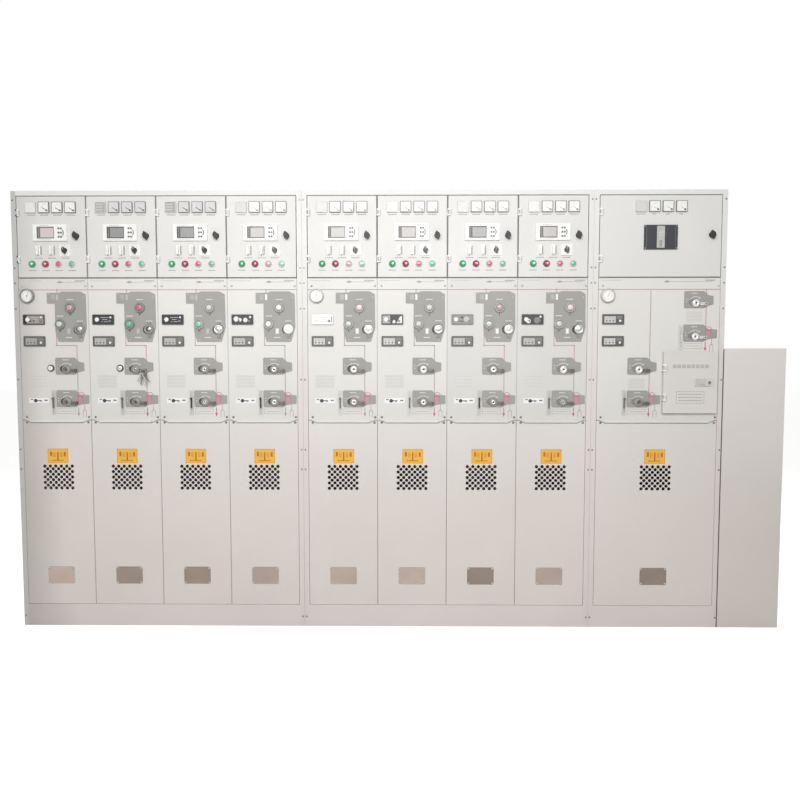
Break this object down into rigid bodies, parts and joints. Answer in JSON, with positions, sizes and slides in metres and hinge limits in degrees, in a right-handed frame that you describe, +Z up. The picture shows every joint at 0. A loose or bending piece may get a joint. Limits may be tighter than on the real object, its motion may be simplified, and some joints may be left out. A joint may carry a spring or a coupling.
{
  "type": "ring main unit",
  "caption": "Floor-standing row of medium-voltage switch units with hinged low-voltage doors, mechanism panels and vented cable covers.",
  "frame": {"origin": "floor level under the middle of the bounding box", "axes": "+X along the row to the right seen from the front, +Y from the front to the rear, +Z up"},
  "size_m": [4.1466, 0.883, 2.365],
  "materials": {
    "cabinet_paint": "light grey powder coat",
    "tank_steel": "sheet steel",
    "window_glass": "clear",
    "plate_grey": "matt grey",
    "control_steel": "plated",
    "lever_black": "moulded",
    "instrument_black": "moulded",
    "hinge_white": "coated"
  },
  "bodies": {
    "root": {"plinth_skirts": "cabinet_paint", "frame_posts": "cabinet_paint", "top_rails": "cabinet_paint", "roof_panels": "cabinet_paint", "side_panels": "cabinet_paint", "rear_panels": "cabinet_paint", "mullions": "cabinet_paint", "lv_shelves": "cabinet_paint", "lv_partitions": "cabinet_paint", "lv_back_plates": "cabinet_paint", "gas_tanks": "tank_steel", "mechanism_panels": "cabinet_paint", "access_panel": "cabinet_paint", "cable_covers": "cabinet_paint", "cover_windows": "window_glass", "breaker_plates": "plate_grey", "disconnector_plates": "plate_grey", "earthing_plates": "plate_grey", "breaker_buttons": "control_steel", "charging_sockets": "control_steel", "operating_sockets": "control_steel", "interlock_levers": "lever_black", "panel_indicators": "instrument_black", "pressure_gauges": "control_steel", "key_locks": "control_steel", "door_hinges": "hinge_white", "end_box_panels": "cabinet_paint", "end_box_side": "cabinet_paint", "end_box_top": "cabinet_paint"},
    "door_1": {"lv_door_1": "cabinet_paint", "lv_fittings_1": "instrument_black"},
    "door_2": {"lv_door_2": "cabinet_paint", "lv_fittings_2": "instrument_black"},
    "door_3": {"lv_door_3": "cabinet_paint", "lv_fittings_3": "instrument_black"},
    "door_4": {"lv_door_4": "cabinet_paint", "lv_fittings_4": "instrument_black"},
    "door_5": {"lv_door_5": "cabinet_paint", "lv_fittings_5": "instrument_black"},
    "door_6": {"lv_door_6": "cabinet_paint", "lv_fittings_6": "instrument_black"},
    "door_7": {"lv_door_7": "cabinet_paint", "lv_fittings_7": "instrument_black"},
    "door_8": {"lv_door_8": "cabinet_paint", "lv_fittings_8": "instrument_black"},
    "door_9": {"lv_door_9": "cabinet_paint", "lv_fittings_9": "instrument_black"},
    "access_leaf": {"access_door": "cabinet_paint", "access_door_lock": "control_steel"}
  },
  "joints": [
    {"name": "lv_door_1_hinge", "type": "hinge", "parent": "root", "child": "door_1", "pos_m": [-2.0343, -0.4145, 2.1215], "axis": [0, 0, -1], "range_deg": [0, 90]},
    {"name": "lv_door_2_hinge", "type": "hinge", "parent": "root", "child": "door_2", "pos_m": [-1.6593, -0.4145, 2.1215], "axis": [0, 0, -1], "range_deg": [0, 90]},
    {"name": "lv_door_3_hinge", "type": "hinge", "parent": "root", "child": "door_3", "pos_m": [-1.2843, -0.4145, 2.1215], "axis": [0, 0, -1], "range_deg": [0, 90]},
    {"name": "lv_door_4_hinge", "type": "hinge", "parent": "root", "child": "door_4", "pos_m": [-0.9093, -0.4145, 2.1215], "axis": [0, 0, -1], "range_deg": [0, 90]},
    {"name": "lv_door_5_hinge", "type": "hinge", "parent": "root", "child": "door_5", "pos_m": [-0.4795, -0.4145, 2.1215], "axis": [0, 0, -1], "range_deg": [0, 90]},
    {"name": "lv_door_6_hinge", "type": "hinge", "parent": "root", "child": "door_6", "pos_m": [-0.1045, -0.4145, 2.1215], "axis": [0, 0, -1], "range_deg": [0, 90]},
    {"name": "lv_door_7_hinge", "type": "hinge", "parent": "root", "child": "door_7", "pos_m": [0.2705, -0.4145, 2.1215], "axis": [0, 0, -1], "range_deg": [0, 90]},
    {"name": "lv_door_8_hinge", "type": "hinge", "parent": "root", "child": "door_8", "pos_m": [0.6455, -0.4145, 2.1215], "axis": [0, 0, -1], "range_deg": [0, 90]},
    {"name": "lv_door_9_hinge", "type": "hinge", "parent": "root", "child": "door_9", "pos_m": [1.0753, -0.4145, 2.1215], "axis": [0, 0, -1], "range_deg": [0, 90]},
    {"name": "access_door_hinge", "type": "hinge", "parent": "root", "child": "access_leaf", "pos_m": [1.4213, -0.4345, 1.34417], "axis": [0, 0, -1], "range_deg": [0, 90]}
  ]
}
